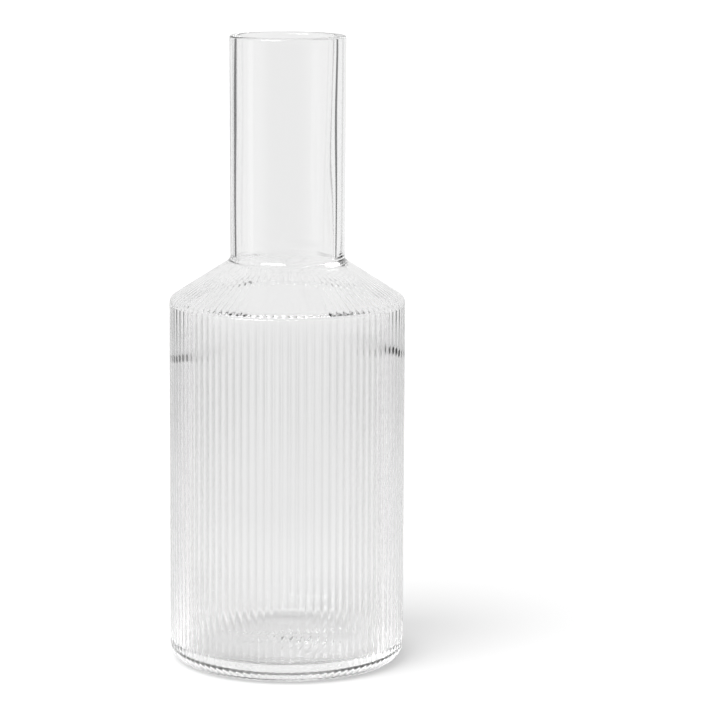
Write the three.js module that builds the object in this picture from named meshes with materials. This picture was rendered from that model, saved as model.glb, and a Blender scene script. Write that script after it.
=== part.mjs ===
// A clear carafe blown in a ribbed mould: one piece of glass with a heavy base and a straight body, whose
// ribs run over the shoulder and die out below a smooth, open neck. Millimetres, +Z up, standing on Z = 0.
import * as THREE from "three";
import { mergeVertices } from "three/addons/utils/BufferGeometryUtils.js";

// Outside, over the crests of the ribs
const TOTAL_HEIGHT = 254;
const BODY_RADIUS = 47.5;
const NECK_FOOT_RADIUS = 23;
const RIM_RADIUS = 23.3;
const SHOULDER_EDGE_HEIGHT = 148.5;
const NECK_FOOT_HEIGHT = 164.3;
const HEEL_ROUNDING = 6.9;
const SHOULDER_ROUNDING = 3.5;
const NECK_FOOT_ROUNDING = 3;
const RIM_ROUNDING = 0.9;

// Glass thickness
const BODY_WALL = 2.2;
const SHOULDER_WALL = 2.8;
const NECK_WALL = 3.9;
const BASE_THICKNESS = 8;

// Underside, hollowed a little so that the carafe stands on a flat ring
const STANDING_RING_WIDTH = 12;
const PUSH_UP_HEIGHT = 1.6;

// Inside
const FLOOR_CORNER_ROUNDING = 1.2;
const FLOOR_RISE = 1;
const INNER_SHOULDER_ROUNDING = 1.5;
const THROAT_ROUNDING = 3;

// Ribs
const RIB_COUNT = 95;
const RIB_DEPTH = 0.4;
const RIB_START_HEIGHT = 2.3;
const SMOOTH_BAND_BELOW_NECK = 11;

// How finely the round surfaces are faceted
const FACETS_PER_RIB = 4;
const SMOOTH_FACETS = 48;
const ARC_STEP_DEGREES = 30;
const RIB_FADE_STEPS = 3;

const glass = new THREE.MeshStandardMaterial({
  color: 0xeef3f2,
  roughness: 0.02,
  metalness: 0,
  transparent: true,
  opacity: 0.35,
});

// A profile point, with the radius as x and the height as y
const at = (radius, height) => new THREE.Vector2(radius, height);

// The arc that rounds a corner, from its tangent point on the way in to the one on the way out
function roundedCorner(before, corner, after, rounding) {
  const back = before.clone().sub(corner).normalize();
  const onward = after.clone().sub(corner).normalize();
  const halfAngle = Math.acos(back.dot(onward)) / 2;
  const bisector = back.clone().add(onward).normalize();
  const centre = corner.clone().addScaledVector(bisector, rounding / Math.sin(halfAngle));
  const start = corner.clone().addScaledVector(back, rounding / Math.tan(halfAngle));
  const turn = (Math.PI - 2 * halfAngle) * Math.sign(onward.cross(back));
  const steps = Math.ceil(THREE.MathUtils.radToDeg(Math.abs(turn)) / ARC_STEP_DEGREES);
  const points = [];
  for (let step = 0; step <= steps; step += 1) {
    points.push(start.clone().rotateAround(centre, (turn * step) / steps));
  }
  return points;
}

// A shallow dome, from its crown on the axis to its edge
function dome(crown, edge) {
  const middle = at(edge.x / 2, crown.y + (edge.y - crown.y) / 4);
  return [crown, middle, edge];
}

// The shoulder's slope outside, and its underside one wall thickness below
const shoulderRise = (NECK_FOOT_HEIGHT - SHOULDER_EDGE_HEIGHT) / (BODY_RADIUS - NECK_FOOT_RADIUS);
const onShoulder = (radius) => at(radius, SHOULDER_EDGE_HEIGHT + (BODY_RADIUS - radius) * shoulderRise);
const underShoulder = (radius) => at(radius, onShoulder(radius).y - SHOULDER_WALL * Math.hypot(1, shoulderRise));

// Corners of the outside and the inside, before they are rounded
const ringInside = at(BODY_RADIUS - HEEL_ROUNDING - STANDING_RING_WIDTH, 0);
const heel = at(BODY_RADIUS, 0);
const shoulderEdge = onShoulder(BODY_RADIUS);
const neckFoot = onShoulder(NECK_FOOT_RADIUS);
const outerLip = at(RIM_RADIUS, TOTAL_HEIGHT);
const rimTop = at(RIM_RADIUS - NECK_WALL / 2, TOTAL_HEIGHT);
const innerLip = at(RIM_RADIUS - NECK_WALL, TOTAL_HEIGHT);
const throat = underShoulder(NECK_FOOT_RADIUS - NECK_WALL);
const innerShoulder = underShoulder(BODY_RADIUS - BODY_WALL);
const floorCorner = at(BODY_RADIUS - BODY_WALL, BASE_THICKNESS);
const floorEdge = at(BODY_RADIUS - BODY_WALL - FLOOR_CORNER_ROUNDING, BASE_THICKNESS);
const floorCrown = at(0, BASE_THICKNESS + FLOOR_RISE);
const ribEnd = onShoulder(NECK_FOOT_RADIUS + SMOOTH_BAND_BELOW_NECK);

// The underside, from the axis to the standing ring
function undersideProfile() {
  return dome(at(0, PUSH_UP_HEIGHT), ringInside);
}

// The ribbed outside, from the standing ring to where the ribs end on the shoulder
function ribbedProfile() {
  const heelArc = roundedCorner(ringInside, heel, shoulderEdge, HEEL_ROUNDING);
  const shoulderArc = roundedCorner(heel, shoulderEdge, neckFoot, SHOULDER_ROUNDING);
  const slopeStart = shoulderArc.at(-1);
  const slope = [];
  for (let step = 1; step <= RIB_FADE_STEPS; step += 1) {
    slope.push(slopeStart.clone().lerp(ribEnd, step / RIB_FADE_STEPS));
  }
  return [...heelArc, ...shoulderArc, ...slope];
}

// The smooth neck, up to the top of its fire-polished rim
function neckProfile() {
  return [
    ...roundedCorner(shoulderEdge, neckFoot, outerLip, NECK_FOOT_ROUNDING),
    ...roundedCorner(neckFoot, outerLip, rimTop, RIM_ROUNDING),
  ];
}

// The inside, from the top of the rim down to the axis
function insideProfile() {
  return [
    ...roundedCorner(rimTop, innerLip, throat, RIM_ROUNDING),
    ...roundedCorner(innerLip, throat, innerShoulder, THROAT_ROUNDING),
    ...roundedCorner(throat, innerShoulder, floorCorner, INNER_SHOULDER_ROUNDING),
    ...roundedCorner(innerShoulder, floorCorner, floorEdge, FLOOR_CORNER_ROUNDING).slice(0, -1),
    ...dome(floorCrown, floorEdge).reverse(),
  ];
}

// How much of their depth the ribs have at a point of the outside: they rise out of the heel, keep their
// depth up the body and fade over the shoulder, fast at first and then slowly
function ribShare(point) {
  const overHeel = point.y / RIB_START_HEIGHT;
  const overShoulder = Math.max((point.x - ribEnd.x) / (BODY_RADIUS - ribEnd.x), 0) ** 2;
  return Math.min(overHeel, overShoulder, 1);
}

// How far the outside lies below the crests, from 0 on a crest to 1 in a valley: the ribs are round-backed
function ribValley(turn) {
  const offCrest = turn * RIB_COUNT - Math.round(turn * RIB_COUNT);
  return (2 * offCrest) ** 2;
}

// One ring of points round the axis; a point on the axis is a ring of one
function ring(point, inward, share) {
  if (point.x === 0) {
    return [new THREE.Vector3(0, 0, point.y)];
  }
  const count = share > 0 ? RIB_COUNT * FACETS_PER_RIB : SMOOTH_FACETS;
  const vertices = [];
  for (let index = 0; index < count; index += 1) {
    const turn = index / count;
    const sunk = point.clone().addScaledVector(inward, share * RIB_DEPTH * ribValley(turn));
    const angle = 2 * Math.PI * turn;
    vertices.push(new THREE.Vector3(sunk.x * Math.cos(angle), sunk.x * Math.sin(angle), sunk.y));
  }
  return vertices;
}

// The band of triangles between two rings, which may differ in their number of points
function band(lower, upper) {
  const lowSteps = lower.length > 1 ? lower.length : 0;
  const highSteps = upper.length > 1 ? upper.length : 0;
  const vertices = [];
  let low = 0;
  let high = 0;
  while (low < lowSteps || high < highSteps) {
    const lowPoint = lower[low % lower.length];
    const highPoint = upper[high % upper.length];
    const lowIsNext = high === highSteps || (low + 1) * highSteps <= (high + 1) * lowSteps;
    if (low < lowSteps && lowIsNext) {
      low += 1;
      vertices.push(lowPoint, lower[low % lower.length], highPoint);
    } else {
      high += 1;
      vertices.push(lowPoint, upper[high % upper.length], highPoint);
    }
  }
  return vertices;
}

// The closed skin that is swept by a profile, with ribs where the profile's share of rib depth is above 0
function turnedSkin(stations) {
  const rings = stations.map(({ point, share }, index) => {
    const before = stations[Math.max(index - 1, 0)].point;
    const after = stations[Math.min(index + 1, stations.length - 1)].point;
    const along = after.clone().sub(before).normalize();
    return ring(point, at(-along.y, along.x), share);
  });
  const vertices = [];
  for (let index = 1; index < rings.length; index += 1) {
    vertices.push(...band(rings[index - 1], rings[index]));
  }
  const geometry = mergeVertices(new THREE.BufferGeometry().setFromPoints(vertices));
  geometry.computeVertexNormals();
  return geometry;
}

// The whole vessel
function makeCarafe() {
  const smooth = (point) => ({ point, share: 0 });
  const ribbed = (point) => ({ point, share: ribShare(point) });
  const geometry = turnedSkin([
    ...undersideProfile().map(smooth),
    ...ribbedProfile().map(ribbed),
    ...neckProfile().map(smooth),
    ...insideProfile().map(smooth),
  ]);
  const mesh = new THREE.Mesh(geometry, glass);
  mesh.name = "carafe";
  return mesh;
}

const carafe = new THREE.Group();
carafe.add(makeCarafe());

export default carafe;
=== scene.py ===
"""A clear ribbed glass carafe on a white table, lit softly from the left. Metres, +Z up."""

import math

import bpy
import numpy as np
from mathutils import Euler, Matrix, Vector, noise


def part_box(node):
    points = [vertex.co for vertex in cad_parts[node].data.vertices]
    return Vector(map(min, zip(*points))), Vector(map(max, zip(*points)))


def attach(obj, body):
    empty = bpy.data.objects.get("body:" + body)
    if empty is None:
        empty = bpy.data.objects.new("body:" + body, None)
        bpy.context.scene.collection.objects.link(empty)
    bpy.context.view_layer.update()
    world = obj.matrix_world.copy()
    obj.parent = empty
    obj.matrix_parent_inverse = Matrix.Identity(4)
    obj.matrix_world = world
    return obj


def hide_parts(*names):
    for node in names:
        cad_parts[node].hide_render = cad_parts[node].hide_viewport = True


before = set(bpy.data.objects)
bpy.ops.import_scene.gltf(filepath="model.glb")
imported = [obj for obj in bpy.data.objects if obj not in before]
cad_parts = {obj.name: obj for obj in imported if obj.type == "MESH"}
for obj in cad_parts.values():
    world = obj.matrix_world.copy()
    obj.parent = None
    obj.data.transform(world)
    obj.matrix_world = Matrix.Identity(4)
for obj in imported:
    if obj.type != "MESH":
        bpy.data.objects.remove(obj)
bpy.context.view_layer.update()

MM = 0.001

# Outside, over the crests of the ribs
node_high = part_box("carafe")[1]
TOTAL_HEIGHT = node_high.z
BODY_RADIUS = node_high.x
NECK_RADIUS = 23 * MM
RIM_RADIUS = 23.3 * MM
SHOULDER_EDGE_HEIGHT = 148.5 * MM
NECK_FOOT_HEIGHT = 164.3 * MM
SHOULDER_RISE = (NECK_FOOT_HEIGHT - SHOULDER_EDGE_HEIGHT) / (BODY_RADIUS - NECK_RADIUS)
HEEL_ROUNDING = 6.9 * MM
SHOULDER_ROUNDING = 3.5 * MM
NECK_FOOT_ROUNDING = 3 * MM
RIM_ROUNDING = 0.9 * MM

# Glass thickness
BODY_WALL = 2.2 * MM
SHOULDER_WALL = 2.8 * MM
NECK_WALL = 3.9 * MM
BASE_THICKNESS = 8 * MM

# Underside, hollowed a little inside the standing ring
STANDING_RING_WIDTH = 12 * MM
PUSH_UP_HEIGHT = 0.4 * MM

# Inside
FLOOR_CORNER_ROUNDING = 1.2 * MM
FLOOR_RISE = 1 * MM
INNER_SHOULDER_ROUNDING = 1.5 * MM
THROAT_ROUNDING = 3 * MM

# Ribs
RIB_COUNT = 95
RIB_DEPTH = 0.4 * MM
RIB_START_HEIGHT = 2.3 * MM
SMOOTH_BAND_BELOW_NECK = 11 * MM

# How much the ribs' depth varies, and how fast it does from rib to rib and up the body
RIB_UNEVENNESS = 0.35
UNEVEN_STEP = 0.37
UNEVEN_HEIGHT = 60 * MM

# What blowing leaves inside: a bore off centre, and waves in the inner wall
BORE_OFFSET = -0.9 * MM
BODY_WAVES = 0.02 * MM
NECK_WAVES = 0.12 * MM
RIGHT_NECK_WAVES = 0.4 * MM
WAVES_ROUND = 2.2
WAVE_HEIGHT = 45 * MM

# How finely the glass is meshed
POINTS_PER_RIB = 10
SMOOTH_POINTS = 288
ARC_STEP = math.radians(6)
ROW_HEIGHT = 6 * MM
DOME_ROWS = 12

# The glass, and how often light may turn in it
GLASS_TINT = 0.975
GLASS_IOR = 1.5
GLASS_BOUNCES = 24

# How much of the lamps' light goes straight through each face of the wall and of the thick heel
WALL_SHARE = 0.875
HEEL_SHARE = 0.78
HEEL_HEIGHT = (6 * MM, 25 * MM)
HEEL_RADIUS = (30 * MM, 40 * MM)

# The table
FLOOR_SIZE = 12
FLOOR_DROP = 0.1 * MM
PAPER = 0.93

# The table as the glass sees it, in painted light and shade, by the distance from a centre: its brightness
# nearby and far off
TABLE_CENTRE = (0.02, -0.10, 0)
NEAR_LEVEL = 0.805
FAR_LEVEL = 0.81
FAR_FROM = (0.85, 1.1)

# Painted light and shade: its brightness beside and in front of the carafe, against 1 behind it
SIDE_FROM = (math.radians(60), math.radians(80))
SIDE_LEVEL = 1.15
FRONT_FROM = (math.radians(115), math.radians(150))
FRONT_LEVEL = 0.78

# Painted shade in broad gaps nearby on both sides, which shades the ribs and fades towards the carafe
NEAR_GAP = (math.radians(13), math.radians(55))
NEAR_GAP_BLUR = math.radians(6)
NEAR_LEFT = 0.35
NEAR_RIGHT = 0.31
NEAR_FADE = (0.35, 0.75)
NEAR_FADED = 0.5

# Painted shade in narrow gaps far off on both sides, which draws the dark lines in the neck
FAR_GAP = (math.radians(36), math.radians(46))
FAR_GAP_BLUR = math.radians(1.5)
FAR_LEFT = 0.95
FAR_RIGHT = 0.9

# Painted shade along a thin edge at one distance on both sides, which draws the dark ticks at the sides of
# the body
EDGE_GAP = (0.85, 0.88)
EDGE_BLUR = 0.006
EDGE_SIDES = (math.radians(32), math.radians(110))
EDGE_SIDES_BLUR = math.radians(6)
EDGE_LEFT = 0.8
EDGE_RIGHT = 1

# Painted light below the base and round it, for the light that the glass gathers there
GATHERED_CENTRE = (8 * MM, 22 * MM, 0)
GATHERED = (40 * MM, 65 * MM)
GATHERED_LEVEL = 1.05
NEAR_TABLE = (90 * MM, 280 * MM)
NEAR_TABLE_GAIN = 1.1

# Soft light from all round, and how bright the glass shows it
AMBIENT = 0.3
SKY = 0.87

# Key light
SUN_FROM = (-0.62, -0.74, 1.4)
SUN_STRENGTH = 3.4
SUN_WIDTH = math.radians(45)

# A dim strip on the left
STRIP_PLACE = (-1.0, -0.18, 0.35)
STRIP_AIM = (0, 0, 0.2)
STRIP_SIZE = (0.25, 0.8)
STRIP_RADIANCE = 0.45

# A softbox in front on the left
SOFTBOX_PLACE = (-0.58, -0.96, 0.68)
SOFTBOX_AIM = (0, 0, 0.15)
SOFTBOX_SIZE = (1.0, 0.7)
SOFTBOX_RADIANCE = 8

# Camera
CAMERA_DISTANCE = 1.300
CAMERA_HEIGHT = 0.3396
CAMERA_PITCH = math.radians(9.455)
CAMERA_PAN = math.radians(1.240)
CAMERA_ROLL = math.radians(-0.33)
FOCAL_LENGTH_PX = 3259
IMAGE_PX = 720
SENSOR_WIDTH_MM = 36


def placed(name, data):
    """A new object in the scene."""
    thing = bpy.data.objects.new(name, data)
    bpy.context.collection.objects.link(thing)
    return thing


def at(radius, height):
    """A profile point."""
    return Vector((radius, height))


def rounded_corner(before, corner, after, rounding):
    """The arc that rounds a corner, from its tangent point on the way in to the one on the way out."""
    back = (before - corner).normalized()
    onward = (after - corner).normalized()
    half_angle = math.acos(back.dot(onward)) / 2
    centre = corner + (back + onward).normalized() * (rounding / math.sin(half_angle))
    start = corner + back * (rounding / math.tan(half_angle)) - centre
    turn = (math.pi - 2 * half_angle) * math.copysign(1, onward.x * back.y - onward.y * back.x)
    steps = math.ceil(abs(turn) / ARC_STEP)
    points = []
    for step in range(steps + 1):
        angle = turn * step / steps
        cos, sin = math.cos(angle), math.sin(angle)
        points.append(centre + at(start.x * cos - start.y * sin, start.x * sin + start.y * cos))
    return points


def dome(crown, edge):
    """A shallow dome, from its crown on the axis to its edge."""
    shares = [row / DOME_ROWS for row in range(DOME_ROWS + 1)]
    return [at(edge.x * share, crown.y + (edge.y - crown.y) * share * share) for share in shares]


def with_rows(points):
    """The same profile, with extra points along its long straight stretches."""
    finer = [points[0]]
    for point in points[1:]:
        last = finer[-1]
        rows = max(1, round((point - last).length / ROW_HEIGHT))
        finer.extend(last.lerp(point, row / rows) for row in range(1, rows + 1))
    return finer


def on_shoulder(radius):
    """The point of the shoulder's outside slope at a radius."""
    return at(radius, SHOULDER_EDGE_HEIGHT + (BODY_RADIUS - radius) * SHOULDER_RISE)


def under_shoulder(radius):
    """The point of the shoulder's underside at a radius."""
    return on_shoulder(radius) - at(0, SHOULDER_WALL * math.hypot(1, SHOULDER_RISE))


def rim_top():
    """The middle of the flat top of the rim."""
    return at(RIM_RADIUS - NECK_WALL / 2, TOTAL_HEIGHT)


def outside_profile():
    """From the axis under the base to the flat top of the rim."""
    ring_inside = at(BODY_RADIUS - HEEL_ROUNDING - STANDING_RING_WIDTH, 0)
    heel = at(BODY_RADIUS, 0)
    shoulder_edge = on_shoulder(BODY_RADIUS)
    neck_foot = on_shoulder(NECK_RADIUS)
    lip = at(RIM_RADIUS, TOTAL_HEIGHT)
    return with_rows([
        *dome(at(0, PUSH_UP_HEIGHT), ring_inside),
        *rounded_corner(ring_inside, heel, shoulder_edge, HEEL_ROUNDING),
        *rounded_corner(heel, shoulder_edge, neck_foot, SHOULDER_ROUNDING),
        *rounded_corner(shoulder_edge, neck_foot, lip, NECK_FOOT_ROUNDING),
        *rounded_corner(neck_foot, lip, rim_top(), RIM_ROUNDING),
    ])


def inside_profile():
    """From just inside the flat top of the rim down to the axis on the floor of the inside."""
    cavity = BODY_RADIUS - BODY_WALL
    lip = at(RIM_RADIUS - NECK_WALL, TOTAL_HEIGHT)
    throat = under_shoulder(NECK_RADIUS - NECK_WALL)
    inner_shoulder = under_shoulder(cavity)
    floor_corner = at(cavity, BASE_THICKNESS)
    floor_edge = at(cavity - FLOOR_CORNER_ROUNDING, BASE_THICKNESS)
    floor_crown = at(0, BASE_THICKNESS + FLOOR_RISE)
    return with_rows([
        *rounded_corner(rim_top(), lip, throat, RIM_ROUNDING),
        *rounded_corner(lip, throat, inner_shoulder, THROAT_ROUNDING),
        *rounded_corner(throat, inner_shoulder, floor_corner, INNER_SHOULDER_ROUNDING),
        *rounded_corner(inner_shoulder, floor_corner, floor_edge, FLOOR_CORNER_ROUNDING),
        *reversed(dome(floor_crown, floor_edge)[:-1]),
    ])[1:]


def rib_share(point):
    """How much of their depth the ribs have: they rise round the heel and fade over the shoulder."""
    rib_end = NECK_RADIUS + SMOOTH_BAND_BELOW_NECK
    over_heel = point.y / RIB_START_HEIGHT
    over_shoulder = max((point.x - rib_end) / (BODY_RADIUS - rib_end), 0) ** 2
    return min(over_heel, over_shoulder, 1)


def bore_share(radius):
    """1 at the radius of the neck's bore and within it, falling to 0 halfway through the neck's wall."""
    half_wall = NECK_WALL / 2
    return min(max((NECK_RADIUS - half_wall - radius) / half_wall, 0), 1)


def wave(angle, point):
    """The depth of the inner wall's waves: long upright folds, deepest in the right side of the neck."""
    place = Vector((WAVES_ROUND * math.cos(angle), WAVES_ROUND * math.sin(angle), point.y / WAVE_HEIGHT))
    in_neck = NECK_WAVES + (RIGHT_NECK_WAVES - NECK_WAVES) * max(math.cos(angle), 0)
    depth = BODY_WAVES + (in_neck - BODY_WAVES) * bore_share(point.x)
    return depth * noise.noise(place)


def valley_depths(height):
    """How deep the valleys between the ribs are at a height, which varies a little from one to the next."""
    places = [Vector((UNEVEN_STEP * valley, 0, height / UNEVEN_HEIGHT)) for valley in range(RIB_COUNT)]
    uneven = np.array([noise.noise(place) for place in places])
    return RIB_DEPTH * (1 + RIB_UNEVENNESS * uneven)


def ribbed_ring(point, inward, share):
    """A ring of points on the outside, sunk between the crests of the ribs."""
    count = RIB_COUNT * POINTS_PER_RIB if share > 0 else SMOOTH_POINTS
    turns = np.arange(count) / count
    off_crest = turns * RIB_COUNT - np.round(turns * RIB_COUNT)
    valleys = np.arange(count) * RIB_COUNT // count
    sunk = share * valley_depths(point.y)[valleys] * (2 * off_crest) ** 2
    radii = point.x + inward.x * sunk
    angles = 2 * math.pi * turns
    return np.column_stack([radii * np.cos(angles), radii * np.sin(angles), point.y + inward.y * sunk])


def wavy_ring(point, inward):
    """A ring of points on the inside, which is smooth but not quite true."""
    angles = 2 * math.pi * np.arange(SMOOTH_POINTS) / SMOOTH_POINTS
    waves = np.array([wave(angle, point) for angle in angles])
    radii = point.x + inward.x * waves
    across = radii * np.cos(angles) + BORE_OFFSET * bore_share(point.x)
    return np.column_stack([across, radii * np.sin(angles), point.y + inward.y * waves])


def inward_at(profile, index):
    """The direction across a profile at one of its points, into the glass."""
    before = profile[max(index - 1, 0)]
    after = profile[min(index + 1, len(profile) - 1)]
    along = (after - before).normalized()
    return at(-along.y, along.x)


def band(first, second):
    """The faces between two rings, given as ranges of vertex numbers: quads if both have as many points."""
    if len(first) == len(second):
        count = len(first)
        return [
            (first[i], first[(i + 1) % count], second[(i + 1) % count], second[i]) for i in range(count)
        ]
    steps = [len(ring) if len(ring) > 1 else 0 for ring in (first, second)]
    faces = []
    low = high = 0
    while low < steps[0] or high < steps[1]:
        here, there = first[low % len(first)], second[high % len(second)]
        low_is_next = high == steps[1] or (low + 1) * steps[1] <= (high + 1) * steps[0]
        if low < steps[0] and low_is_next:
            low += 1
            faces.append((here, first[low % len(first)], there))
        else:
            high += 1
            faces.append((here, second[high % len(second)], there))
    return faces


def make_glass():
    """The carafe's one piece of glass."""
    outside = outside_profile()
    inside = inside_profile()
    rings = [np.array([[0, 0, outside[0].y]])]
    for index in range(1, len(outside)):
        point = outside[index]
        rings.append(ribbed_ring(point, inward_at(outside, index), rib_share(point)))
    for index in range(len(inside) - 1):
        rings.append(wavy_ring(inside[index], inward_at(inside, index)))
    rings.append(np.array([[0, 0, inside[-1].y]]))

    faces = []
    start = 0
    for first, second in zip(rings, rings[1:]):
        middle = start + len(first)
        faces += band(range(start, middle), range(middle, middle + len(second)))
        start = middle
    mesh = bpy.data.meshes.new("ribbed_carafe")
    mesh.from_pydata(np.concatenate(rings).tolist(), [], faces)
    mesh.shade_smooth()
    return placed("ribbed_carafe", mesh)


def new_material(name):
    """An empty node material, with its nodes, its links and its output."""
    material = bpy.data.materials.new(name)
    material.use_nodes = True
    nodes = material.node_tree.nodes
    nodes.clear()
    return material, nodes, material.node_tree.links, nodes.new("ShaderNodeOutputMaterial")


def feed(links, socket, value):
    """Gives an input its value: a number, or another node's output."""
    if isinstance(value, bpy.types.NodeSocket):
        links.new(value, socket)
    else:
        socket.default_value = value


def math_node(nodes, links, operation, *values):
    """The result of a Math node, whose inputs are numbers or other nodes' outputs."""
    node = nodes.new("ShaderNodeMath")
    node.operation = operation
    for socket, value in zip(node.inputs, values):
        feed(links, socket, value)
    return node.outputs[0]


def mixed(nodes, links, factor, first, second):
    """A value between two others, each a number or another node's output."""
    node = nodes.new("ShaderNodeMix")
    node.data_type = "FLOAT"
    feed(links, node.inputs["Factor"], factor)
    feed(links, node.inputs["A"], first)
    feed(links, node.inputs["B"], second)
    return node.outputs["Result"]


def ramp(nodes, links, value, start, stop, first, last):
    """A smooth change from one number to another, while a value goes from start to stop."""
    node = nodes.new("ShaderNodeMapRange")
    node.interpolation_type = "SMOOTHSTEP"
    links.new(value, node.inputs["Value"])
    node.inputs["From Min"].default_value = start
    node.inputs["From Max"].default_value = stop
    node.inputs["To Min"].default_value = first
    node.inputs["To Max"].default_value = last
    return node.outputs["Result"]


def gap(nodes, links, value, start, stop, blur):
    """1 while a value is between start and stop and 0 elsewhere, with soft edges."""
    rise = ramp(nodes, links, value, start - blur, start + blur, 0, 1)
    fall = ramp(nodes, links, value, stop - blur, stop + blur, 1, 0)
    return math_node(nodes, links, "MULTIPLY", rise, fall)


def distance_from(nodes, links, position, centre):
    """How far a position is from a fixed centre."""
    node = nodes.new("ShaderNodeVectorMath")
    node.operation = "DISTANCE"
    links.new(position, node.inputs[0])
    node.inputs[1].default_value = centre
    return node.outputs["Value"]


def lamp_share(nodes, links):
    """How much of the lamps' light goes straight through the glass: the thick heel bends more of it away."""
    place = nodes.new("ShaderNodeSeparateXYZ")
    position = nodes.new("ShaderNodeTexCoord").outputs["Object"]
    links.new(position, place.inputs[0])
    height = ramp(nodes, links, place.outputs["Z"], *HEEL_HEIGHT, 1, 0)
    across = math_node(nodes, links, "POWER", place.outputs["X"], 2)
    along = math_node(nodes, links, "POWER", place.outputs["Y"], 2)
    radius = math_node(nodes, links, "SQRT", math_node(nodes, links, "ADD", across, along))
    heel = math_node(nodes, links, "MULTIPLY", height, ramp(nodes, links, radius, *HEEL_RADIUS, 0, 1))
    return mixed(nodes, links, heel, WALL_SHARE, HEEL_SHARE)


def glass_material():
    """Clear glass, which lets the lamps' light through to the table."""
    material, nodes, links, output = new_material("clear_glass")
    glass = nodes.new("ShaderNodeBsdfPrincipled")
    glass.inputs["Base Color"].default_value = (GLASS_TINT, GLASS_TINT, GLASS_TINT, 1)
    glass.inputs["Roughness"].default_value = 0
    glass.inputs["IOR"].default_value = GLASS_IOR
    glass.inputs["Transmission Weight"].default_value = 1

    shade = nodes.new("ShaderNodeBsdfTransparent")
    links.new(lamp_share(nodes, links), shade.inputs["Color"])
    path = nodes.new("ShaderNodeLightPath")
    shadow, diffuse = path.outputs["Is Shadow Ray"], path.outputs["Is Diffuse Ray"]
    mix = nodes.new("ShaderNodeMixShader")
    links.new(math_node(nodes, links, "MAXIMUM", shadow, diffuse), mix.inputs["Fac"])
    links.new(glass.outputs[0], mix.inputs[1])
    links.new(shade.outputs[0], mix.inputs[2])
    links.new(mix.outputs[0], output.inputs["Surface"])
    return material


def each_side(nodes, links, angle, edges, blur, left_share, right_share):
    """A gap between two directions on both sides of straight behind, with a strength for each side."""
    mirrored = math_node(nodes, links, "MULTIPLY", angle, -1)
    left = math_node(nodes, links, "MULTIPLY", gap(nodes, links, mirrored, *edges, blur), left_share)
    right = math_node(nodes, links, "MULTIPLY", gap(nodes, links, angle, *edges, blur), right_share)
    return math_node(nodes, links, "MAXIMUM", left, right)


def painted_shade_share(nodes, links, angle, away, far):
    """How much of the table's brightness the painted shade in its gaps and along its edge takes."""
    near_gaps = each_side(nodes, links, angle, NEAR_GAP, NEAR_GAP_BLUR, NEAR_LEFT, NEAR_RIGHT)
    fade = ramp(nodes, links, away, *NEAR_FADE, NEAR_FADED, 1)
    faded_gaps = math_node(nodes, links, "MULTIPLY", near_gaps, fade)
    far_gaps = each_side(nodes, links, angle, FAR_GAP, FAR_GAP_BLUR, FAR_LEFT, FAR_RIGHT)
    gaps = mixed(nodes, links, far, faded_gaps, far_gaps)
    edge_sides = each_side(nodes, links, angle, EDGE_SIDES, EDGE_SIDES_BLUR, EDGE_LEFT, EDGE_RIGHT)
    edge = math_node(nodes, links, "MULTIPLY", gap(nodes, links, away, *EDGE_GAP, EDGE_BLUR), edge_sides)
    return math_node(nodes, links, "MAXIMUM", gaps, edge)


def painted_table_level(nodes, links, position):
    """How bright the table is for the glass, in painted light and shade, by the direction from the carafe
    and by the distance.
    """
    place = nodes.new("ShaderNodeSeparateXYZ")
    links.new(position, place.inputs[0])
    angle = math_node(nodes, links, "ARCTAN2", place.outputs["X"], place.outputs["Y"])
    turned = math_node(nodes, links, "ABSOLUTE", angle)
    away = distance_from(nodes, links, position, TABLE_CENTRE)
    far = ramp(nodes, links, away, *FAR_FROM, 0, 1)

    side = ramp(nodes, links, turned, *SIDE_FROM, 1, SIDE_LEVEL)
    front = ramp(nodes, links, turned, *FRONT_FROM, 1, FRONT_LEVEL / SIDE_LEVEL)
    round_about = math_node(nodes, links, "MULTIPLY", side, front)
    clear = math_node(nodes, links, "SUBTRACT", 1, painted_shade_share(nodes, links, angle, away, far))
    level = math_node(nodes, links, "MULTIPLY", round_about, clear)
    return math_node(nodes, links, "MULTIPLY", level, mixed(nodes, links, far, NEAR_LEVEL, FAR_LEVEL))


def with_painted_gathered_light(nodes, links, position, level):
    """The table's brightness for the glass, with painted light raised round the base, and one plain painted
    level below it.
    """
    away = distance_from(nodes, links, position, GATHERED_CENTRE)
    near_table = ramp(nodes, links, away, *NEAR_TABLE, NEAR_TABLE_GAIN, 1)
    around = math_node(nodes, links, "MULTIPLY", level, near_table)
    below = ramp(nodes, links, away, *GATHERED, 1, 0)
    return mixed(nodes, links, below, around, GATHERED_LEVEL)


def floor_material():
    """White paper, which the glass sees with painted light and shade: a ray that the glass mirrors or bends
    counts as glossy.
    """
    material, nodes, links, output = new_material("white_paper")
    position = nodes.new("ShaderNodeNewGeometry").outputs["Position"]
    level = with_painted_gathered_light(nodes, links, position, painted_table_level(nodes, links, position))
    by_glass = nodes.new("ShaderNodeLightPath").outputs["Is Glossy Ray"]
    # Only rays that the glass mirrors or bends see the painted light and shade; all others see plain paper
    seen = mixed(nodes, links, by_glass, 1, level)
    paper = nodes.new("ShaderNodeBsdfDiffuse")
    links.new(math_node(nodes, links, "MULTIPLY", seen, PAPER), paper.inputs["Color"])
    links.new(paper.outputs[0], output.inputs["Surface"])
    return material


def make_floor():
    """A plane that the camera sees as white, with the carafe's shadow on it."""
    half = FLOOR_SIZE / 2
    mesh = bpy.data.meshes.new("floor")
    corners = [(-half, -half, 0), (half, -half, 0), (half, half, 0), (-half, half, 0)]
    mesh.from_pydata(corners, [], [(0, 1, 2, 3)])
    mesh.materials.append(floor_material())
    floor = placed("floor", mesh)
    floor.location.z = -FLOOR_DROP


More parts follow.
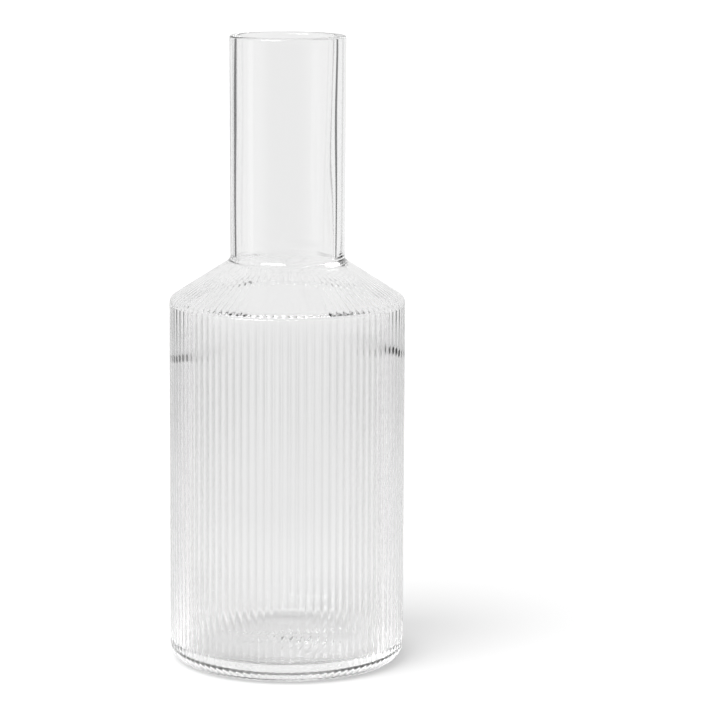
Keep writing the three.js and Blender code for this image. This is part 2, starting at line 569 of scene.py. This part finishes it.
def make_world():
    """White for the camera, a pale sky for the glass, and plain soft light for the rest."""
    world = bpy.data.worlds.new("studio")
    bpy.context.scene.world = world
    world.use_nodes = True
    nodes = world.node_tree.nodes
    links = world.node_tree.links
    nodes.clear()
    output = nodes.new("ShaderNodeOutputWorld")
    background = nodes.new("ShaderNodeBackground")
    background.inputs["Color"].default_value = (1, 1, 1, 1)
    links.new(background.outputs[0], output.inputs["Surface"])
    path = nodes.new("ShaderNodeLightPath")
    not_camera = mixed(nodes, links, path.outputs["Is Glossy Ray"], AMBIENT, SKY)
    strength = math_node(nodes, links, "MAXIMUM", not_camera, path.outputs["Is Camera Ray"])
    links.new(strength, background.inputs["Strength"])


def area_light(name, place, aim, size, radiance):
    """A rectangular lamp of a given brightness, which only the glass shows."""
    width, height = size
    light = bpy.data.lights.new(name, "AREA")
    light.shape = "RECTANGLE"
    light.size = width
    light.size_y = height
    light.energy = radiance * math.pi * width * height
    lamp = placed(name, light)
    lamp.location = place
    lamp.rotation_euler = (Vector(aim) - Vector(place)).to_track_quat("-Z", "Y").to_euler()
    lamp.visible_camera = False
    lamp.visible_diffuse = False


def make_sun():
    """The key light: even over the whole table, and broad enough for soft shadows."""
    light = bpy.data.lights.new("key", "SUN")
    light.energy = SUN_STRENGTH
    light.angle = SUN_WIDTH
    lamp = placed("key", light)
    lamp.rotation_euler = (-Vector(SUN_FROM)).to_track_quat("-Z", "Y").to_euler()
    lamp.visible_glossy = False
    lamp.visible_transmission = False


def make_camera():
    """The camera at the photograph's viewpoint."""
    data = bpy.data.cameras.new("camera")
    data.sensor_width = SENSOR_WIDTH_MM
    data.lens = FOCAL_LENGTH_PX / IMAGE_PX * SENSOR_WIDTH_MM
    camera = placed("camera", data)
    camera.location = (0, -CAMERA_DISTANCE, CAMERA_HEIGHT)
    camera.rotation_euler = Euler((math.pi / 2 - CAMERA_PITCH, CAMERA_ROLL, -CAMERA_PAN))
    bpy.context.scene.camera = camera


# The carafe
carafe = make_glass()
carafe.data.materials.append(glass_material())
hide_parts("carafe")
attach(carafe, "root")

# The table, the light and the camera
make_floor()
make_world()
make_sun()
area_light("left_strip", STRIP_PLACE, STRIP_AIM, STRIP_SIZE, STRIP_RADIANCE)
area_light("softbox", SOFTBOX_PLACE, SOFTBOX_AIM, SOFTBOX_SIZE, SOFTBOX_RADIANCE)
make_camera()

# Plain colours, and enough bounces for the glass
scene = bpy.context.scene
scene.view_settings.view_transform = "Standard"
scene.cycles.max_bounces = GLASS_BOUNCES
scene.cycles.transmission_bounces = GLASS_BOUNCES
scene.cycles.glossy_bounces = GLASS_BOUNCES
scene.cycles.transparent_max_bounces = GLASS_BOUNCES
